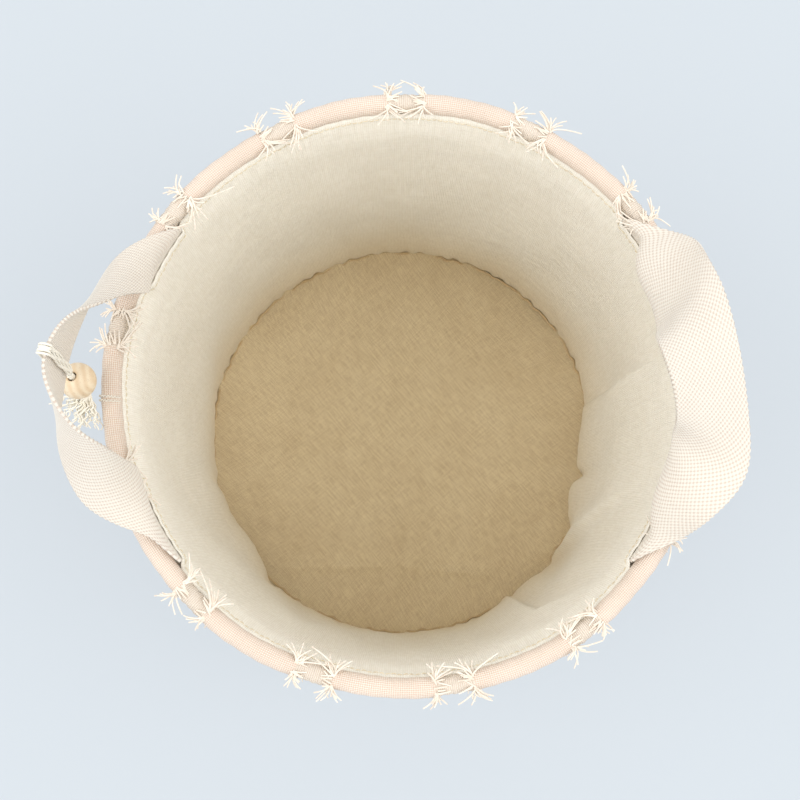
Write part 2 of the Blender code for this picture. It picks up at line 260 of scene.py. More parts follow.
def cloth(name, along, across, place, thickness, size, material, body="bin", values=None):
    """A flat grid, moved to place(u, v) with u along it and v across it, and made thick."""
    deselect()
    bpy.ops.mesh.primitive_grid_add(x_subdivisions=along, y_subdivisions=across, size=1)
    piece = bpy.context.object
    flat = np.empty(len(piece.data.vertices) * 3)
    piece.data.vertices.foreach_get("co", flat)
    u, v = flat.reshape(-1, 3)[:, 0] + 0.5, flat.reshape(-1, 3)[:, 1] + 0.5
    placed = np.stack(np.broadcast_arrays(*place(u, v)), axis=1)
    piece.data.vertices.foreach_set("co", placed.ravel())
    for label, value in (values or {}).items():
        note = piece.data.attributes.new(label, "FLOAT", "POINT")
        note.data.foreach_set("value", value(u, v))
    corners = np.empty(len(piece.data.loops) * 2)
    piece.data.uv_layers[0].data.foreach_get("uv", corners)
    corners = corners.reshape(-1, 2) * size
    piece.data.uv_layers[0].data.foreach_set("uv", corners.ravel())
    bpy.ops.object.mode_set(mode="EDIT")
    bpy.ops.mesh.select_all(action="SELECT")
    bpy.ops.mesh.remove_doubles(threshold=0.000005)
    bpy.ops.mesh.normals_make_consistent(inside=False)
    bpy.ops.object.mode_set(mode="OBJECT")
    if thickness:
        wall = piece.modifiers.new("thickness", "SOLIDIFY")
        wall.thickness = thickness
        wall.offset = 0
        bpy.ops.object.modifier_apply(modifier=wall.name)
    return settle(piece, name, material, body)


def cords(name, paths, radius, material, body="bin", closed=False, sides=6):
    """Round cords along paths of points. They thin a little towards a free end."""
    curve = bpy.data.curves.new(name, "CURVE")
    curve.dimensions = "3D"
    curve.bevel_depth = radius
    curve.bevel_resolution = (sides - 4) // 2
    curve.use_fill_caps = True
    for path in paths:
        route = curve.splines.new("POLY")
        route.points.add(len(path) - 1)
        count = len(path)
        route.points.foreach_set("co", np.column_stack((path, np.ones(count))).ravel())
        if not closed:
            route.points.foreach_set("radius", np.linspace(1.0, 0.7, count))
        route.use_cyclic_u = closed
    piece = bpy.data.objects.new(name, curve)
    bpy.context.scene.collection.objects.link(piece)
    deselect()
    piece.select_set(True)
    bpy.context.view_layer.objects.active = piece
    bpy.ops.object.convert(target="MESH")
    return settle(bpy.context.object, name, material, body)


def ring_points(angle, radius, height):
    """Points round the bin: angle in degrees from its right side, towards the back."""
    turn = np.radians(angle)
    return radius * np.cos(turn), radius * np.sin(turn), height + 0 * turn


def apart(angle, other):
    """Degrees from one angle to another the short way round."""
    return (angle - other + 180) % 360 - 180


def bell(distance, spread):
    return np.exp(-((distance / spread) ** 2) / 2)


# %% [markdown]
# ## Sizes that the cloth shares
# The solid model holds each sheet's place. These are read from its boxes, so the cloth lies where
# the solid pieces are.

# %% Sizes from the solid model
roll_low, roll_high = (np.array(corner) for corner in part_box("rim_roll"))
roll_radius = (roll_high[2] - roll_low[2]) / 2
roll_z = (roll_high[2] + roll_low[2]) / 2
roll_ring = roll_high[1] - roll_radius
lining_low, lining_high = (np.array(corner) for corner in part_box("lining_wall"))
floor_high = np.array(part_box("lining_floor")[1])
cover_low, cover_high = (np.array(corner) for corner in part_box("cover_panel_back"))
floor_z = floor_high[2]
lining_foot = lining_high[1] - 0.0006
lining_rim = lining_foot - 0.0047
lining_flare = 0.0048  # how far the lining's top leans out to the roll
left_seam, right_seam = 181.5, 356.0  # degrees round the bin from its right side
print("roll", round(roll_ring, 4), round(roll_z, 4), "floor", round(floor_z, 4))

# %% [markdown]
# ## Linen for the lining
# Plain linen: threads cross over and under at less than a millimetre, and some of them are thick or
# thin along their length. The slubs and the over-and-under both come from waves and noise in UV.

# %% Linen
def linen(name, light, dark, pitch, slub, depth, turn=0.0, length=14, crumpled=6.0):
    """Linen with ribs along V. slub is how much its thick and thin threads show.

    Cloth that hangs, with no turn, is painted warmer and darker along its foot: painted shade for the
    floor's bounced light and the bin's depth.
    """
    material, wire = start_finish(name)
    place = surface(wire, "UV")
    if turn:
        place = place.stretched(1, 1, 1, turn)
    wander = place.noise(220, 2.0) * 0.5
    ribs = (place.split(0) / pitch + wander).wave()
    rungs = (place.split(1) / (pitch * 1.1) + wander).wave()
    weave = ribs * 0.62 + rungs * 0.38
    long_slubs = place.stretched(1 / (pitch * 1.5), 1 / (pitch * length), 20).noise(1.0, 3.0, 0.6)
    cross_slubs = place.stretched(1 / (pitch * length), 1 / (pitch * 1.5), 20).noise(1.0, 3.0, 0.6)
    fibres = place.noise(1100, 3.0, 0.7)
    cloudy = place.noise(16, 3.0, 0.55)
    streaks = long_slubs.between(0.32, 0.68) * 0.6 + cross_slubs.between(0.32, 0.68) * 0.4
    tone = (streaks - 0.5) * slub + (weave - 0.5) * 0.6 + (fibres - 0.5) * 0.6
    tone = tone + (cloudy - 0.5) * 0.35 + 0.5
    colour = tone.between(0.0, 1.0).blend(dark, light)
    if not turn:
        # painted shade: the lowest 16 cm of hanging cloth is tinted warm and dark, standing in for
        # bounced floor light and the depth of the bin
        painted_foot_shade = place.split(1).between(0.16, 0.0) * 0.8
        colour = painted_foot_shade.tint(colour, (0.98, 0.90, 0.76, 1.0))
    crumple = place.stretched(1, 1.6, 1).noise(26, 4.0, 0.55)
    height = weave * 0.6 + streaks * 0.5 + fibres * 0.4 + crumple * crumpled
    return finish(material, wire, colour, height, depth)


lining_linen = linen("lining_linen", (1.0, 0.968, 0.88), (0.88, 0.83, 0.72), 0.0012, 0.55, 0.00035)
floor_linen = linen(
    "floor_melange", (1.0, 0.87, 0.61), (0.64, 0.49, 0.29), 0.0008, 0.42, 0.0003,
    turn=2.44, length=17, crumpled=0.5,
)
# The seam's tan is partly the floor cloth's own colour and partly painted shade for the crease where
# wall and floor meet; as cloth with no turn it also takes the painted foot shade in full
seam_linen_with_painted_shade = linen("seam_linen_with_painted_shade", (0.86, 0.72, 0.50), (0.62, 0.48, 0.29), 0.0009, 0.4, 0.0003)
print("linens:", lining_linen.name, floor_linen.name, seam_linen_with_painted_shade.name)

# %% [markdown]
# ## The lining's wall
# The lining is cut longer than the wall it covers and is only held at the rim and at the floor, so
# it bags inward low down and pinches into little pleats along its lower seam. Each fold is a bell
# in angle and in height, and the pinches fade out within a few centimetres of the floor.

# %% Lining of the wall
strap_ends = ((28.6, 9.3), (151.4, 6.7), (208.6, 9.3), (331.4, 9.3))  # middle and half width, degrees


def lining_fold(angle, height):
    """How far the lining leans in from the core at each place, in metres."""
    up = height - floor_z

    def bag(at, spread, middle, rise, depth):
        over = np.clip(up / 0.022, 0, 1) ** 0.7
        return bell(apart(angle, at), spread) * bell(up - middle, rise) * depth * over

    lean = bag(356, 10, 0.040, 0.045, 0.0130) + bag(350, 14, 0.150, 0.090, 0.0060)
    lean += bag(340, 7, 0.038, 0.045, 0.0110) + bag(310, 6, 0.035, 0.040, 0.0060)
    lean += bag(216, 7, 0.040, 0.045, 0.0095) + bag(187, 14, 0.060, 0.070, 0.0060)
    lean += bag(119, 8, 0.045, 0.050, 0.0035) + bag(75, 8, 0.045, 0.050, 0.0035)
    lean += bag(200, 7, 0.050, 0.060, 0.0035) + bag(20, 9, 0.035, 0.040, 0.0035)
    lean += bag(284, 9, 0.040, 0.050, 0.0020) + bag(150, 12, 0.160, 0.060, 0.0015)
    lean += bag(224, 10, 0.130, 0.080, 0.0035) + bag(172, 8, 0.110, 0.070, 0.0030)
    lean += bag(252, 12, 0.070, 0.060, 0.0030) + bag(55, 10, 0.120, 0.070, 0.0020)
    lean += bag(100, 20, 0.180, 0.060, 0.0015) + bag(262, 16, 0.150, 0.060, 0.0015)
    crease = 0.5 + 0.5 * np.tanh(-apart(angle, 9.5) / 0.45)
    lean += 0.0085 * crease * bell(apart(angle, 7.0), 9) * bell(up - 0.165, 0.080)
    pleat = 321 + 17 * np.clip((up - 0.018) / 0.20, 0, 1.2)
    side = apart(angle, pleat)
    lean += 0.0080 * (0.5 + 0.5 * np.tanh(side / 0.45)) * bell(side, 7.0) * bell(up - 0.11, 0.075)
    second = 303.5 + 11.5 * np.clip((up - 0.229) / 0.046, 0, 1)
    side = apart(angle, second)
    lean += 0.0065 * (0.5 + 0.5 * np.tanh(-side / 0.45)) * bell(side, 6.0) * bell(up - 0.12, 0.085)
    for at, depth in ((347.5, 0.0075), (227.7, 0.0040), (194.4, 0.0030), (331, 0.0030)):
        lean -= depth * bell(apart(angle, at), 1.6) * bell(up - 0.030, 0.030)
    small = np.sin(np.radians(angle * 67 + 40 * np.sin(np.radians(angle * 5))))
    finer = np.sin(np.radians(angle * 97 + 60 * np.sin(np.radians(angle * 3 + 50))))
    lean += (0.0008 * small + 0.0005 * finer) * np.exp(-up / 0.016)
    under_roll = np.sin(np.radians(angle * 120 + 50 * np.sin(np.radians(angle * 7))))
    lean += 0.00035 * under_roll * np.exp(-(0.344 - height) / 0.012)
    slack = np.sin(np.radians(angle * 7)) * np.sin(up * 31 + np.radians(angle * 4))
    slack += 0.7 * np.sin(np.radians(angle * 13 + 70)) * np.sin(up * 23 - np.radians(angle * 9))
    lean += 0.0016 * slack * bell(up - 0.16, 0.10)
    held = np.clip((0.340 - height) / 0.03, 0, 1)
    return np.clip(lean, -0.0008, 0.03) * held + 0.00025 * under_roll * (1 - held)


def beside_straps(angle):
    """1 where the lining meets the roll, and 0 where a strap's end comes up between them."""
    nearest = np.min([np.abs(apart(angle, middle)) - half for middle, half in strap_ends], axis=0)
    share = np.clip(nearest / 1.0, 0, 1)
    return share * share * (3 - 2 * share)


def roll_sway(angle):
    """The rolled rim is sewn by hand and eye, so it wanders a little in and out."""
    return 0.0004 * np.sin(np.radians(angle * 5 + 30)) + 0.0003 * np.sin(np.radians(angle * 11))


def lining_radius(angle, height):
    """The lining leans out to the roll at the top, except beside the straps."""
    rise = (height - lining_low[2]) / (lining_high[2] - lining_low[2])
    radius = lining_foot + (lining_rim - lining_foot) * rise - lining_fold(angle, height)
    reach = np.clip((height - 0.316) / 0.026, 0, 1.1) ** 1.5 * beside_straps(angle)
    return radius + (lining_flare + roll_sway(angle)) * reach


def lining_place(u, v):
    angle = 360 * u
    low, high = lining_low[2] + 0.0002, lining_high[2] - 0.0002
    tucked = beside_straps(angle)
    height = low + (high - 0.0016 * tucked - low) * v**1.12
    return ring_points(angle, lining_radius(angle, height), height)


lining = cloth(
    "lining", 440, 110, lining_place, 0.0009, (1.0, 0.337), lining_linen
)
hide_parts("lining_wall")

# %% [markdown]
# ## The floor of the lining
# A disc of coarser, tan linen lies on the base board. It was folded in its packet, so faint creases
# still cross it, and its edge rises and falls where the pleats of the wall are sewn to it.

# %% Lining of the floor
def disc(u, v, radius):
    """A square grid drawn out to a disc, so that it needs no pole in its middle."""
    x, y = 2 * u - 1, 2 * v - 1
    return x * np.sqrt(1 - y * y / 2) * radius, y * np.sqrt(1 - x * x / 2) * radius


def floor_height(x, y):
    """The floor cloth's waves and creases above the board, in metres."""
    angle, radius = np.degrees(np.arctan2(y, x)), np.hypot(x, y)
    edge = np.clip((radius - 0.110) / 0.045, 0, 1) ** 2
    ruffle = np.sin(np.radians(angle * 23 + 50 * np.sin(np.radians(angle * 4))))
    lift = 0.0016 * edge * (0.5 + 0.5 * ruffle)
    lift += 0.0004 * (np.sin(31 * x + 12 * y) + np.sin(44 * y - 17 * x + 1))

    def crease(ax, ay, bx, by, depth):
        length = math.hypot(bx - ax, by - ay)
        along = ((x - ax) * (bx - ax) + (y - ay) * (by - ay)) / length
        off = ((x - ax) * (by - ay) - (y - ay) * (bx - ax)) / length
        ends = np.clip(along / 0.02, 0, 1) * np.clip((length - along) / 0.02, 0, 1)
        return depth * bell(off, 0.0028) * ends

    lift += crease(-0.109, -0.106, -0.002, -0.104, 0.0018)
    lift += crease(-0.004, -0.104, 0.085, -0.113, 0.0015)
    lift += crease(-0.115, -0.030, 0.042, 0.030, 0.0008)
    return lift + 0.0008


def floor_place(u, v):
    x, y = disc(u, v, floor_high[0] - 0.0005)
    return x, y, floor_z - 0.0005 + floor_height(x, y)


floor_lining = cloth(
    "floor_lining", 200, 200, floor_place, 0.0009, (0.319, 0.319), floor_linen
)
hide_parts("lining_floor")

# %% [markdown]
# ## The seam between them
# Wall and floor are sewn together with the raw edges behind, and the gathers make the seam bead up
# like a cord that runs in and out with every pleat.

# %% Puckered floor seam
def seam_place(u, v):
    angle, turn = 360 * u, 2 * math.pi * v
    height = floor_z + 0.0014 + 0.0003 * np.sin(np.radians(angle * 61))
    fold = np.clip(lining_fold(angle, floor_z + 0.004), 0, 1)
    swell = 0.0009 + 0.0002 * np.sin(np.radians(angle * 90 + 40 * np.sin(np.radians(angle * 11))))
    radius = lining_foot - 0.0016 - fold + swell * np.cos(turn)
    x, y, _ = ring_points(angle, radius, 0)
    return x, y, height + swell * np.sin(turn)


floor_seam = cloth(
    "floor_seam", 900, 8, seam_place, 0, (1.0, 0.008), seam_linen_with_painted_shade
)
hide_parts("lining_floor_seam")

# %% [markdown]
# ## Striped cotton
# The cover is woven in stripes. The wide ones are a close basket weave of blush and cream yarns,
# and the narrow ones are ribbed cream, with cut fringes where the two meet. Each piece of cover
# carries a value, "wide", that is 1 in the wide stripes, and the colour and the weave follow it.

# %% Striped cotton
narrow_middles = [12.2, 38.2, 64.5, 90.0, 116.3, 142.4, 168.4]
narrow_middles += [-27.0, -53.9, -80.8, -107.7, -134.6, -161.5]
narrow_half = 3.6
print(len(narrow_middles), "narrow stripes of", 2 * narrow_half, "degrees")


def is_wide(angle):
    nearest = np.min([np.abs(apart(angle, middle)) for middle in narrow_middles], axis=0)
    return np.clip((nearest - narrow_half) / 0.5 + 0.5, 0, 1)


def striped(name):
    material, wire = start_finish(name)
    place = surface(wire, "UV")
    wide = wire.node("ShaderNodeAttribute", {"attribute_name": "wide"}, None, 2)
    grid = (place.split(1) / 0.00128).wave() * 0.55 + (place.split(0) / 0.0012).wave() * 0.45
    ribs = (place.split(0) / 0.0011).wave()
    wobble = place.noise(900, 3.0, 0.6)
    cloudy = place.noise(30, 2.0)
    basket = (grid * 0.7 + wobble * 0.3).between(0.25, 0.75)
    blush = basket.blend((0.76, 0.57, 0.45), (0.92, 0.84, 0.74))
    corded = (ribs * 0.6 + wobble * 0.4).between(0.15, 0.7)
    cream = corded.blend((0.80, 0.67, 0.55), (0.93, 0.85, 0.74))
    colour = wide.between(0.3, 0.7).blend(cream, blush)
    shade = cloudy.between(0.2, 0.8).blend((0.94, 0.93, 0.92), (1.0, 1.0, 1.0))
    colour = wire.tint(colour, shade, 1.0)
    basketed = wide.between(0.3, 0.7)
    height = grid * basketed + ribs * (1 - basketed) + wobble * 0.3
    return finish(material, wire, colour, height, 0.0004)


striped_cotton = striped("striped_cotton")

# %% [markdown]
# ## The rolled rim
# At the top the cover is folded over a cord and stitched down, which makes the roll. It is drawn in
# a little at each narrow stripe, because the ribbed weave there is thinner.

# %% Rolled rim
def roll_place(u, v):
    angle, turn = 360 * u, 2 * math.pi * v
    wide = is_wide(angle)
    puckers = np.sin(np.radians(angle * 240 + 60 * np.sin(np.radians(angle * 17))))
    size = roll_radius * (0.90 + 0.08 * wide) + 0.00022 * puckers * (1 - wide)
    size = size + 0.00010 * np.sin(np.radians(angle * 36))
    size = size + 0.00012 * np.sin(np.radians(angle * 97) + 2 * turn)
    radius = roll_ring + roll_sway(angle) + size * np.cos(turn)
    x, y, _ = ring_points(angle, radius, 0)
    return x, y, roll_z + size * np.sin(turn)


rolled_rim = cloth(
    "rolled_rim", 1080, 28, roll_place, 0, (1.033, 0.0383), striped_cotton,
    values={"wide": lambda u, v: is_wide(360 * u)},
)
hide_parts("rim_roll")

# %% [markdown]
# ## Stitches under the roll
# A row of twisted sewing thread holds the roll and the lining together. Each stitch is a short
# lens of thread that dips into the cloth at both ends.

# %% Cotton and thread finishes
def yarn_finish(name, light, dark, twist=0.0011, depth=0.0002):
    material, wire = start_finish(name)
    place = surface(wire, "Object")
    fluff = place.noise(1400, 4.0, 0.7)
    patches = place.noise(160, 2.0)
    plies = (place.noise(500, 1.0) * 0.6 + place.split(2) / twist).wave()
    tone = (fluff * 0.5 + plies * 0.2 + patches * 0.5).between(0.3, 0.85)
    return finish(material, wire, tone.blend(dark, light), fluff + plies * 0.6, depth, 0.92, 0.4)


fringe_yarn = yarn_finish("fringe_yarn", (0.96, 0.90, 0.80), (0.84, 0.72, 0.60))
tassel_yarn = yarn_finish("tassel_yarn", (0.98, 0.95, 0.85), (0.89, 0.83, 0.70), depth=0.0001)
sewing_thread = yarn_finish("sewing_thread", (0.88, 0.80, 0.62), (0.70, 0.58, 0.40), 0.0006)

# %% Stitches under the roll
def stitch_row(count, start, end, at, length, rise=0.0006):
    """Short arcs of thread, each dipping into the cloth at both ends. at(angle, lift) is a point."""
    rows = []
    for middle in np.linspace(start, end, count, endpoint=False):
        steps = np.linspace(-0.5, 0.5, 5)
        lift = rise * (1 - (2 * steps) ** 2) - rise / 2
        rows.append(np.stack(at(middle + steps * length, lift), axis=1))
    return rows


stitch_low, stitch_high = (np.array(corner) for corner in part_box("rim_stitching"))
stitch_z = (stitch_low[2] + stitch_high[2]) / 2 + 0.0030


def under_roll(angle, lift):
    return ring_points(angle, lining_radius(angle, stitch_z) - 0.0006 - lift, stitch_z)


rim_stitches = cords(
    "rim_stitches", stitch_row(300, 0, 360, under_roll, 0.95), 0.00038, sewing_thread,
)
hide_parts("rim_stitching")

# %% [markdown]
# ## Fringes on the rim
# Between a wide and a narrow stripe some weft yarns are left long and cut, which gives little brooms
# of cotton all the way up the cover. On the roll they stand out to both sides, over the edge and in
# over the lining, and a few lie along the narrow stripe.

# %% One yarn
def yarn(angle, radius, height, way, length, sag, curl=0.0, points=6):
    """Points of a yarn that leaves the bin along way (outward, sideways, up) and then sags."""
    turn = math.radians(angle)
    outward = np.array((math.cos(turn), math.sin(turn), 0.0))
    sideways = np.array((-math.sin(turn), math.cos(turn), 0.0))
    upward = np.array((0.0, 0.0, 1.0))
    out, aside, up = np.array(way) / np.linalg.norm(way)
    steps = np.linspace(0, 1, points)[:, None]
    straight = outward * out + sideways * aside + upward * up
    bent = sideways * curl + upward * -sag
    start = outward * radius + upward * height
    return start + straight * length * steps + bent * length * steps**2


edges = sorted(middle + side * narrow_half for middle in narrow_middles for side in (-1, 1))

# %% Brooms on the roll
def roll_point(degrees, out=0.0):
    """Radius and height on the roll, at an angle from its outermost line over its top."""
    turn = math.radians(degrees)
    size = roll_radius * 0.97 + out
    return roll_ring + size * math.cos(turn), roll_z + size * math.sin(turn)


def broom(edge, across_stripe, strong, side, places, sink, lean, rise, lengths, sag):
    """Ten yarns that leave the roll on one side. side is 1 outward and -1 over the lining."""
    made = []
    for _ in range(10):
        radius, height = roll_point(chance.uniform(*places), sink)
        aside = (side * chance.uniform(*lean), across_stripe * 0.35 + chance.normal(0, 0.45))
        way = (*aside, chance.uniform(*rise))
        length = chance.uniform(*lengths) * strong
        start = edge + chance.normal(0, 0.25)
        made.append(yarn(start, radius, height, way, length, sag, chance.normal(0, 0.7), 8))
    return made


outer_broom = (1, (30, 62), -0.0003, (0.6, 1.0), (0.2, 0.9), (0.0060, 0.0108), 0.35)
inner_broom = (-1, (105, 138), -0.0002, (0.7, 1.0), (0.2, 0.8), (0.0070, 0.0135), 0.55)
rim_yarns = []
for edge in edges:
    lower = min(abs(apart(edge - 1, middle)) for middle in narrow_middles) < narrow_half
    inward = -1 if lower else 1
    strong = chance.uniform(0.8, 1.15)
    rim_yarns += broom(edge, inward, strong, *outer_broom)
    rim_yarns += broom(edge, inward, strong, *inner_broom)
    for _ in range(7):
        radius, height = roll_point(chance.uniform(45, 130), 0.0003)
        way = (chance.normal(0, 0.35), inward * chance.uniform(0.8, 1.2), 0.10)
        start = edge + chance.normal(0, 0.3)
        rim_yarns.append(yarn(start, radius, height, way, chance.uniform(0.004, 0.009), 0.05))
rim_fringe = cords("rim_fringe", rim_yarns, 0.00055, fringe_yarn)

# %% [markdown]
# ## The outer cover
# Two panels of the striped cotton go round the wall and meet at the sides. The fringes run down the
# cover in rows, one tuft under the other.

# %% Cover panels
cover_mid = cover_high[1] - 0.0009
cover_rise = cover_high[2] - cover_low[2]
cover_taper = 0.0020  # how much narrower the cover is at its top than at its foot


def cover_place(first, last):
    def place(u, v):
        angle = first + (last - first) * u
        drawn = (1 - is_wide(angle)) * 0.0003
        wave = 0.0004 * np.sin(np.radians(angle * 9)) * np.sin(v * 7 + np.radians(angle * 2))
        radius = cover_mid - cover_taper * v - drawn + wave * np.clip(4 * v * (1 - v), 0, 1)
        return ring_points(angle, radius, cover_low[2] + cover_rise * v)

    return place


def fringe_rows(first, last):
    tufts = []
    for edge in edges:
        if not first < edge < last:
            continue
        for level in np.arange(0.016, 0.330, 0.014):
            radius = cover_mid + 0.0007 - cover_taper * (level - cover_low[2]) / cover_rise
            for _ in range(7):
                way = (chance.uniform(0.25, 0.9), chance.normal(0, 0.7), chance.uniform(-0.7, 0.25))
                start = edge + chance.normal(0, 0.2)
                length = chance.uniform(0.006, 0.0105)
                height = level + chance.normal(0, 0.0012)
                tufts.append(yarn(start, radius, height, way, length, 0.3, points=5))
    return tufts


for side, first, last in (("back", -4.0, 181.5), ("front", 181.5, 356.0)):
    first, last = first + 0.12, last - 0.12
    panel_piece = cloth(
        "cover_" + side, 540, 60, cover_place(first, last), 0.0016, (0.54, cover_rise), striped_cotton,
        values={"wide": lambda u, v, a=first, b=last: is_wide(a + (b - a) * u)},
    )
    low, high = (first, last) if first < 0 else (first - 360, last - 360)
    rows = cords(
        "wall_fringe_" + side, fringe_rows(low, high), 0.00040, fringe_yarn,
        sides=4,
    )
    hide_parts("cover_panel_" + side)

# %% [markdown]
# ## Side seams
# Where the two panels meet, a tape of the same cotton covers the join and two rows of white chain
# stitching hold it. On the left the stitching goes on over the roll and down onto the lining.

# %% Side seams
def seam_tape(degrees):
    def place(u, v):
        half = 0.0026 / cover_mid
        radius = cover_mid + 0.0021 - cover_taper * v + 0.0001 * np.sin(v * 300)
        angle = degrees + np.degrees(half) * (2 * u - 1)
        return ring_points(angle, radius, cover_low[2] + 0.0003 + (cover_rise - 0.0008) * v)

    return place


cover_share = 0.84  # the part of the seam's route that is on the cover


def over_the_roll(degrees, share, aside, lift):
    """A point on the route up the cover, over the roll and down the lining."""
    up = np.clip(share / cover_share, 0, 1)
    turn = np.radians(-40 + 200 * np.clip((share - cover_share) / 0.11, 0, 1))
    radius = cover_mid + 0.0030 - cover_taper * up + lift
    height = cover_low[2] + 0.004 + (cover_rise - 0.009) * up
    past, round_roll = share > cover_share, roll_radius + 0.0003 + lift
    radius = np.where(past, roll_ring + round_roll * np.cos(turn), radius)
    height = np.where(past, roll_z + round_roll * np.sin(turn), height)
    return ring_points(degrees + np.degrees(aside / cover_mid), radius, height)


white_thread = yarn_finish("white_thread", (0.97, 0.94, 0.87), (0.85, 0.78, 0.66), 0.0006)
for side, degrees, end in (("left", left_seam, 0.95), ("right", right_seam, cover_share)):
    seam_piece = cloth(
        "side_tape_" + side, 8, 320, seam_tape(degrees), 0.0009, (0.0052, cover_rise),
        striped_cotton, values={"wide": lambda u, v: 0 * u},
    )
    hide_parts("side_seam_" + side)
    links = []
    for aside in (-0.0012, 0.0012):
        for at in np.arange(0.0, end, 0.0095):
            steps = np.linspace(0, 1, 6)
            sway = aside + 0.0004 * np.sin(steps * 2 * math.pi)
            lift = 0.0004 * np.sin(steps * math.pi) - 0.0001
            drift = np.clip((at - 0.8) * 8, 0, 1) if side == "left" else 0
            points = over_the_roll(degrees + drift, at + steps * 0.0100, sway, lift)
            links.append(np.stack(points, axis=1))
    cords("side_stitches_" + side, links, 0.00040, white_thread)

# %% [markdown]
# ## Underside
# The base is covered with the same cotton, and a piping cord hides the seam round its edge. It is
# a bias strip wrapped round a cord, so it is ribbed at a slant.

# %% Underside and piping
base_high = np.array(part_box("base_cover")[1])
piping_low, piping_high = (np.array(corner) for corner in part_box("base_piping"))


def underside_place(u, v):
    x, y = disc(u, v, 1)
    waves = 0.0001 * np.sin(x * 40) * np.sin(y * 37)
    reach = base_high[0] - 0.0002
    return x * reach, y * reach, base_high[2] / 2 + waves


underside = cloth(
    "underside", 90, 90, underside_place, 0.0015, (0.328, 0.328), striped_cotton,
    values={"wide": lambda u, v: 1 + 0 * u},
)
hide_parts("base_cover")


def piping_place(u, v):
    angle, turn = 360 * u, 2 * math.pi * v
    size = (piping_high[2] - piping_low[2]) / 2 - 0.0001
    size = size * (0.96 + 0.04 * np.sin(np.radians(angle * 260) + turn))
    ring = piping_high[0] - (piping_high[2] - piping_low[2]) / 2
    x, y, _ = ring_points(angle, ring + size * np.cos(turn), 0)
    return x, y, (piping_high[2] + piping_low[2]) / 2 + size * np.sin(turn)


piping = cloth(
    "piping", 1040, 12, piping_place, 0, (1.05, 0.0138), striped_cotton,
    values={"wide": lambda u, v: 0 * u},
)
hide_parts("base_piping")

# %% [markdown]
# ## Webbing straps
# Each handle is one strip of heavy cotton webbing. Its two ends go down behind the lining and the
# free part twists as it bows outward. The route repeats the solid model's stations, and the raised
# dots of the weave are real bumps, because they catch the light at the handle's bends.

# %% Stations along each strap
hinge_out, hinge_z, handle_bow, strap_width = 0.147472, 0.362, 0.023028, 0.050
half_spread, last_station = 0.075, 0.83
tail_radius, tail_low_radius = 0.1566, 0.1569
# Each station is how far it stands out and lies along and up from the hinge, then the way across.
left_stations = (
    (0.0, 0.83, 0.0, 0, 1, 0),
    (0.0048, 0.62, 0.026, 0.34, 0.55, -0.76),
    (0.0066, 0.28, 0.041, 0.12, 0, -0.99),
    (0.0081, -0.07, 0.050, 0.06, -0.10, -0.99),
    (0.0092, -0.43, 0.045, 0.34, -0.18, -0.92),
    (0.0063, -0.70, 0.029, 0.42, -0.55, -0.72),
    (0.0, -0.83, 0.0, 0, -1, 0),
)
right_stations = (
    (0.0, 0.83, 0.0, 0, 1, 0),
    (-0.0138, 0.58, 0.028, 0.54, 0.84, 0),
    (-0.0209, 0.35, 0.048, 0.80, 0.52, -0.30),
    (-0.0200, 0.02, 0.053, 0.84, 0.25, -0.48),
    (-0.0118, -0.31, 0.044, 0.86, 0, -0.50),
    (-0.0026, -0.56, 0.025, 0.80, -0.54, -0.26),
    (0.0, -0.83, 0.0, 0, -1, 0),
)


def through(points, share):
    """Points at these shares of the way along a smooth curve through the given ones."""
    points = np.vstack((2 * points[0] - points[1], points, 2 * points[-1] - points[-2]))
    reach = np.atleast_1d(share) * (len(points) - 3)
    index = np.minimum(reach.astype(int), len(points) - 4)
    t = (reach - index)[:, None]
    before, start, end, after = (points[index + step] for step in range(4))
    return 0.5 * (
        2 * start
        + (end - before) * t
        + (2 * before - 5 * start + 4 * end - after) * t**2
        + (3 * start - before - 3 * end + after) * t**3
    )


def free_webbing(side, stations, share):
    """The free part's middle line and the unit way across it."""
    rows = np.array(stations)
    bow = handle_bow * (1 - (rows[:, 1] / last_station) ** 2)
    out = side * (hinge_out + bow + rows[:, 0])
    middles = np.stack((out, rows[:, 1] * half_spread, hinge_z + rows[:, 2]), axis=1)
    ways = rows[:, 3:] * (side, 1, 1)
    way = through(ways, share)
    return through(middles, share), way / np.linalg.norm(way, axis=1)[:, None]


# %% Roots of each strap
# Just above the rim the webbing turns over quickly. Each root has two rows, and each row is the
# webbing's near edge, middle and far edge, in millimetres. The back root comes first.
left_roots = (
    (
        ((-142, 50, 362), (-142, 67, 361), (-142, 83, 360)),
        ((-149, 44, 388), (-152, 59, 377), (-154, 73, 367)),
    ),
    (
        ((-145, -46, 364), (-140, -66, 362), (-139, -83, 360)),
        ((-147, -43, 386), (-150, -60, 377), (-156, -76, 367)),
    ),
)
right_roots = (
    (
        ((133, 50, 366), (128, 71, 360), (147, 86, 359)),
        ((133, 36, 379), (139, 57, 375), (158, 77, 375)),
    ),
    (
        ((138, -50, 368), (133, -72, 362), (146, -85, 360)),
        ((139, -38, 381), (146, -56, 381), (160, -73, 385)),
    ),
)
left_shape = (left_stations[0], (0.0038, 0.633, 0.027, 0.10, 0.55, -0.82), *left_stations[2:])


# %% Rows along a strap
def smoothed(rows, width):
    """Each row averaged over a window this wide, with its ends held where they are."""
    window = np.hanning(width + 2)[1:-1] / np.hanning(width + 2).sum()
    margin = ((0, 0), (0, 0), (width // 2, width // 2))
    padded = np.pad(rows, margin, mode="reflect", reflect_type="odd")
    return np.array([[np.convolve(line, window, "valid") for line in column] for column in padded])


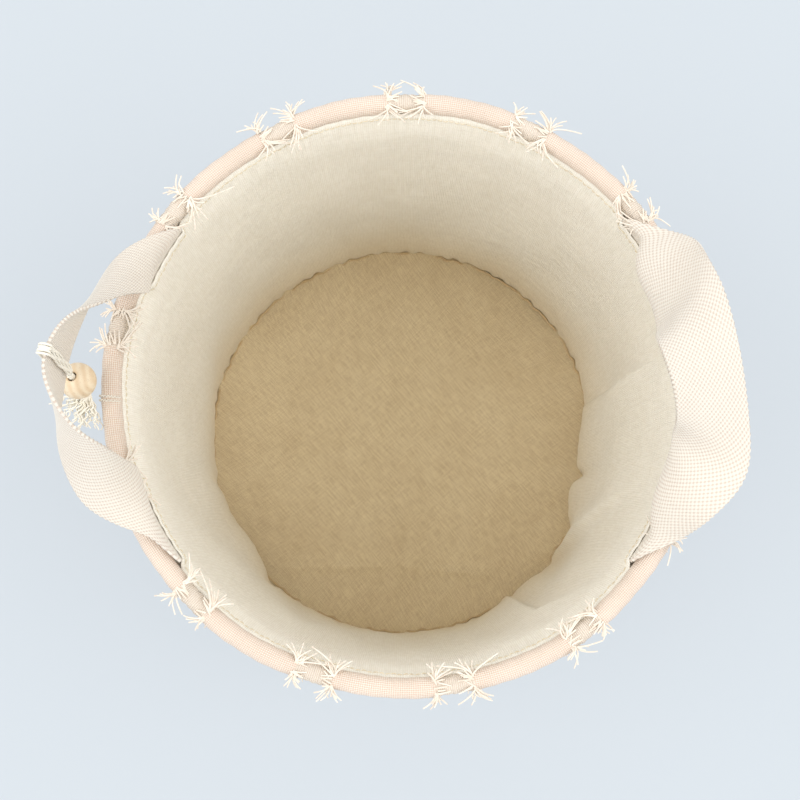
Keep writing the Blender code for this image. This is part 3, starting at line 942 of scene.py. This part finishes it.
def strap_rows(side, stations, roots, gathers, count):
    """The webbing's two edges and its middle at even steps from one end to the other."""
    middle_turn, half_turn = math.asin(half_spread / tail_radius), strap_width / 2 / tail_radius
    levels = [(tail_low_radius, 0.3225)] + [(tail_radius, z) for z in (0.3378, 0.3439, 0.3497)]
    middles, ways = free_webbing(side, stations, np.linspace(1 / 6, 5 / 6, 13))
    columns = []
    for column, v in enumerate((0.0, 0.5, 1.0)):
        tails = []
        for sign, gather in zip((1, -1), gathers):
            turn = middle_turn + gather * half_turn * (2 * v - 1)
            tails.append([(side * r * math.cos(turn), sign * r * math.sin(turn), z) for r, z in levels])
        back, front = (np.array(root)[:, column] / 1000 for root in roots)
        free = middles + ways * strap_width * (v - 0.5)
        route = np.vstack((tails[0], back, free, front[::-1], tails[1][::-1]))
        columns.append(through(route, np.linspace(0, 1, 700)))
    columns = np.array(columns)
    steps = np.linalg.norm(np.diff(columns[1], axis=0), axis=1)
    reach = np.concatenate(([0], np.cumsum(steps)))
    even = np.linspace(0, reach[-1], count)
    rows = np.array([[np.interp(even, reach, line) for line in column.T] for column in columns])
    free = np.clip((np.minimum(even, reach[-1] - even) - 0.038) / 0.025, 0, 1)
    for width, share in ((11, 1), (45, free)):
        rows = rows + (smoothed(rows, width) - rows) * share
    return rows, reach[-1]


# %% Webbing finish
def webbing_finish():
    material, wire = start_finish("ivory_webbing")
    place = surface(wire, "UV")
    along, across = place.split(0), place.split(1)
    checks = (along.wave() - 0.5) * (across.wave() - 0.5) * 2 + 0.5
    plies = ((along + across) * 2.0).wave()
    fibres = place.noise(7.0, 3.0, 0.7)
    cloudy = place.noise(0.12, 2.0)
    tone = checks * 0.70 + plies * 0.08 + fibres * 0.22 + (cloudy - 0.5) * 0.2
    colour = tone.between(0.22, 0.62).blend((0.70, 0.60, 0.51), (0.835, 0.785, 0.70))
    return finish(material, wire, colour, plies * 0.3 + fibres * 0.4 + checks, 0.0003, 0.85)


ivory_webbing = webbing_finish()
print(ivory_webbing.name, "has", len(ivory_webbing.node_tree.nodes), "nodes")


# %% Shaping a strap
def strap_place(side, stations, roots, gathers, count):
    rows, length = strap_rows(side, stations, roots, gathers, count + 1)

    def place(u, v):
        index = np.rint(u * count).astype(int)
        scallop = 0.00035 * np.cos(2 * math.pi * u * length / 0.0032)
        reach = 2 * v - 1
        reach = reach * (1 + (scallop - 0.0004) / (strap_width / 2) * np.abs(reach) ** 8)
        first, middle, last = (rows[column][:, index] for column in range(3))
        return middle + (last - first) / 2 * reach + ((last + first) / 2 - middle) * reach**2

    return place, length


def emboss(piece, height):
    """Push a sheet's faces out by height(along, across), which are stored on its vertices."""
    count = len(piece.data.vertices)
    spot, lean = np.empty(count * 3), np.empty(count * 3)
    stored = {}
    for label in ("along", "across"):
        stored[label] = np.empty(count)
        piece.data.attributes[label].data.foreach_get("value", stored[label])
    piece.data.vertices.foreach_get("co", spot)
    piece.data.vertices.foreach_get("normal", lean)
    push = height(stored["along"], stored["across"])[:, None]
    pushed = spot.reshape(-1, 3) + lean.reshape(-1, 3) * push
    piece.data.vertices.foreach_set("co", pushed.ravel())
    piece.data.update()


# %% Straps
picks, ends = 384, 68  # faces along a strap and across it, four to each dot of the weave


def dots(u, v):
    """Staggered raised dots, flat at the very edge, where the selvedge is."""
    lattice = np.cos(np.rint(u * picks) * math.pi / 2) * np.cos(np.rint(v * ends) * math.pi / 2)
    return 0.00024 * lattice * (np.abs(v - 0.5) < 0.475) - 0.00004


for side, sign, stations, roots, gathers in (
    ("left", -1, left_shape, left_roots, (0.72, 1.0)),
    ("right", 1, right_stations, right_roots, (1.0, 1.0)),
):
    place, length = strap_place(sign, stations, roots, gathers, picks)
    strap = cloth(
        side + "_strap", picks, ends, place, 0.0018, (picks / 4, ends / 4), ivory_webbing, body=None,
        values={"along": lambda u, v: u, "across": lambda u, v: v},
    )
    emboss(strap, dots)
    handle = side + "_handle"
    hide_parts(handle + "_webbing", handle + "_end_back", handle + "_end_front")
    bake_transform(strap)
    print(side, "strap is", round(length, 3), "m long")

# %% [markdown]
# ## Tassel
# A hank of cotton goes round the left strap, through a wooden bead, into a knot, and opens into
# crinkled yarn. It hangs from the strap, so its cord, knot and yarn move together as one body.

# %% Tassel loop round the strap
def unit(vector):
    return np.array(vector) / np.linalg.norm(vector)


tie, tie_way = (row[0] for row in free_webbing(-1, left_stations, np.array([0.435])))
tie_ahead = free_webbing(-1, left_stations, np.array([0.445]))[0][0]
forward = unit(tie_ahead - tie)
proud = unit(np.cross(forward, tie_way))
strap_edge = 0.0278  # where the strands turn over the strap's edge, from its middle
edge_turns = np.radians((70, 35, 0, -35, -70))
bend = [(strap_edge + 0.0018 * math.cos(turn), 0.0018 * math.sin(turn)) for turn in edge_turns]
outline = [(-0.0254, 0.0030), (-0.012, 0.0029), (0.008, 0.0029), (0.0230, 0.0031), *bend]
outline += [(0.0230, -0.0031), (0.008, -0.0029), (-0.012, -0.0029), (-0.0254, -0.0030)]
outline += [(-0.0268, -0.0014), (-0.0268, 0.0014)]
outline = np.array(outline + outline[:1])
loop_reach = np.concatenate(([0], np.cumsum(np.linalg.norm(np.diff(outline, axis=0), axis=1))))
strands = []
for strand in range(5):
    at = np.linspace(0, loop_reach[-1], 97)[:-1]
    over, out = (np.interp(at, loop_reach, outline[:, axis]) for axis in range(2))
    spread = (0.3 + 0.7 * np.clip((strap_edge - over) / 0.012, 0, 1)) * (strand - 2) * 0.00115
    wander = 0.00035 * np.sin(at * 260 + strand * 2.1)
    line = tie + np.outer(over, tie_way) + np.outer(out + 0.0001 * np.sin(at * 900 + strand), proud)
    strands.append(line + np.outer(spread + wander, forward))
tassel_strands = cords(
    "tassel_strands", strands, 0.00062, tassel_yarn, "left_handle", closed=True
)
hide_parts("tassel_loop")

# %% Cord through the bead
down, drape = unit((0.14, -0.14, -0.98)), unit((-0.34, -0.82, -0.46))
cord_top = tie + tie_way * strap_edge + down * 0.0033
side_a = unit(np.cross(down, (0, 1, 0)))
side_b = np.cross(down, side_a)
plies = []
for ply in range(3):
    at = np.linspace(0, 0.0215, 30)
    turn = at * 2 * math.pi / 0.009 + ply * 2 * math.pi / 3
    ply_line = cord_top + np.outer(at, down)
    ply_line = ply_line + np.outer(0.0010 * np.cos(turn), side_a)
    plies.append(ply_line + np.outer(0.0010 * np.sin(turn), side_b))
twisted_cord = cords("twisted_cord", plies, 0.0010, tassel_yarn, "tassel")
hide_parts("tassel_cord")

# %% Wound knot
knot = cord_top + down * 0.0252
at = np.linspace(0, 1, 130)
latitude, longitude = np.pi * (at - 0.5) * 0.9, at * 2 * math.pi * 7
winding = knot + np.outer(0.0026 * np.cos(latitude) * np.cos(longitude), side_a)
winding = winding + np.outer(0.0026 * np.cos(latitude) * np.sin(longitude), side_b)
winding = winding + np.outer(0.0026 * np.sin(latitude), down)
wound_knot = cords("wound_knot", [winding], 0.0008, tassel_yarn, "tassel")
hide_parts("tassel_knot")

# %% Yarns of the tassel
across = unit(np.cross(drape, down))
above = np.cross(across, drape)
yarns = []
for _ in range(46):
    at = np.linspace(0, 1, 18)
    length = chance.uniform(0.013, 0.024)
    fan, tilt = chance.normal(0, 0.42), chance.normal(0, 0.20)
    way = unit(drape + across * fan + above * tilt)
    twist, pace = chance.uniform(0, 6.28), chance.uniform(12, 24)
    size = 0.0011 * np.clip(at * 3, 0, 1)
    line = knot + np.outer(0.0024 + at * length, way)
    line = line + np.outer(size * np.sin(at * pace + twist), across)
    line = line + np.outer(size * np.cos(at * pace + twist) + 0.0010 * at, above)
    yarns.append(line)
tassel_yarns = cords("tassel_yarns", yarns, 0.00055, tassel_yarn, "tassel")
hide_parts("tassel_skirt")

# %% [markdown]
# ## Wooden bead
# A turned beech bead with a drilled and rounded hole. Beech has fine straight grain with short dark
# flecks, so its colour comes from noise that is stretched along the hole.

# %% Beech
def beech_finish():
    material, wire = start_finish("beech_wood")
    place = surface(wire, "Object")
    streaks = place.stretched(420, 420, 45).noise(1.0, 4.0, 0.6)
    rings = (place.split(0) * 220 + place.split(1) * 90 + place.noise(60, 2.0) * 1.6).wave()
    flecks = place.stretched(1500, 1500, 260).noise(1.0, 2.0).between(0.60, 0.72)
    tone = rings * 0.45 + streaks * 0.55
    colour = tone.between(0.1, 0.9).blend((0.80, 0.62, 0.41), (0.90, 0.77, 0.58))
    colour = (flecks * 0.35).blend(colour, (0.50, 0.32, 0.18))
    finish(material, wire, colour, streaks + flecks * -0.5, 0.00008, 0.45, 0.0)
    material.node_tree.nodes["Principled BSDF"].inputs["Specular IOR Level"].default_value = 0.4
    return material


def bead_place(u, v):
    turn, ball, hole, lip = 2 * math.pi * u, 0.0099, 0.0026, 0.0009
    end = math.sqrt(ball**2 - (hole + lip) ** 2)
    first = math.asin((hole + lip) / ball)
    arc = np.linspace(first, math.pi - first, 30)
    wall = [(ball * math.sin(a), ball * math.cos(a)) for a in arc]
    for a in np.linspace(0.2, 1.3, 4):
        wall.append((hole + lip * (1 - math.sin(a)), -end + 0.0006 * (1 - math.cos(a))))
    wall += [(hole, -end + 0.0012), (hole, 0.0), (hole, end - 0.0012)]
    for a in np.linspace(1.3, 0.2, 4):
        wall.append((hole + lip * (1 - math.sin(a)), end - 0.0006 * (1 - math.cos(a))))
    wall = np.array(wall + wall[:1])
    index = np.rint(v * (len(wall) - 1)).astype(int)
    radius, along = wall[index, 0], wall[index, 1]
    middle = cord_top + down * 0.0115
    spot = middle[:, None] + down[:, None] * -along
    spot = spot + side_a[:, None] * (radius * np.cos(turn))
    return spot + side_b[:, None] * (radius * np.sin(turn))


wooden_bead = cloth(
    "wooden_bead", 64, 41, bead_place, 0, (0.0628, 0.04), beech_finish(), "bead"
)
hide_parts("bead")

# %% [markdown]
# ## Hidden layers
# The felt core, the board and the cord in the roll keep the solid model's shapes. They are covered,
# so they only need finishes that are true to what they are.

# %% Felt, board and cord
def fibrous(name, light, dark, scale, stretch=(1, 1, 1)):
    material, wire = start_finish(name)
    place = surface(wire, "Object").stretched(*stretch)
    fibres = place.noise(scale, 5.0, 0.7)
    patches = place.noise(scale / 12, 3.0)
    tone = (fibres * 0.6 + patches * 0.4).between(0.3, 0.7)
    return finish(material, wire, tone.blend(dark, light), fibres, 0.0004, 0.95)


hidden = {
    "wall_core": fibrous("core_felt", (0.84, 0.76, 0.65), (0.66, 0.58, 0.47), 600),
    "base_board": fibrous("grey_board", (0.40, 0.37, 0.33), (0.26, 0.23, 0.20), 350, (1, 3, 1)),
    "rim_cord": fibrous("filler_cord", (0.86, 0.80, 0.68), (0.66, 0.58, 0.45), 900),
}
for node, material in hidden.items():
    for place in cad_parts[node].material_slots:
        place.material = material
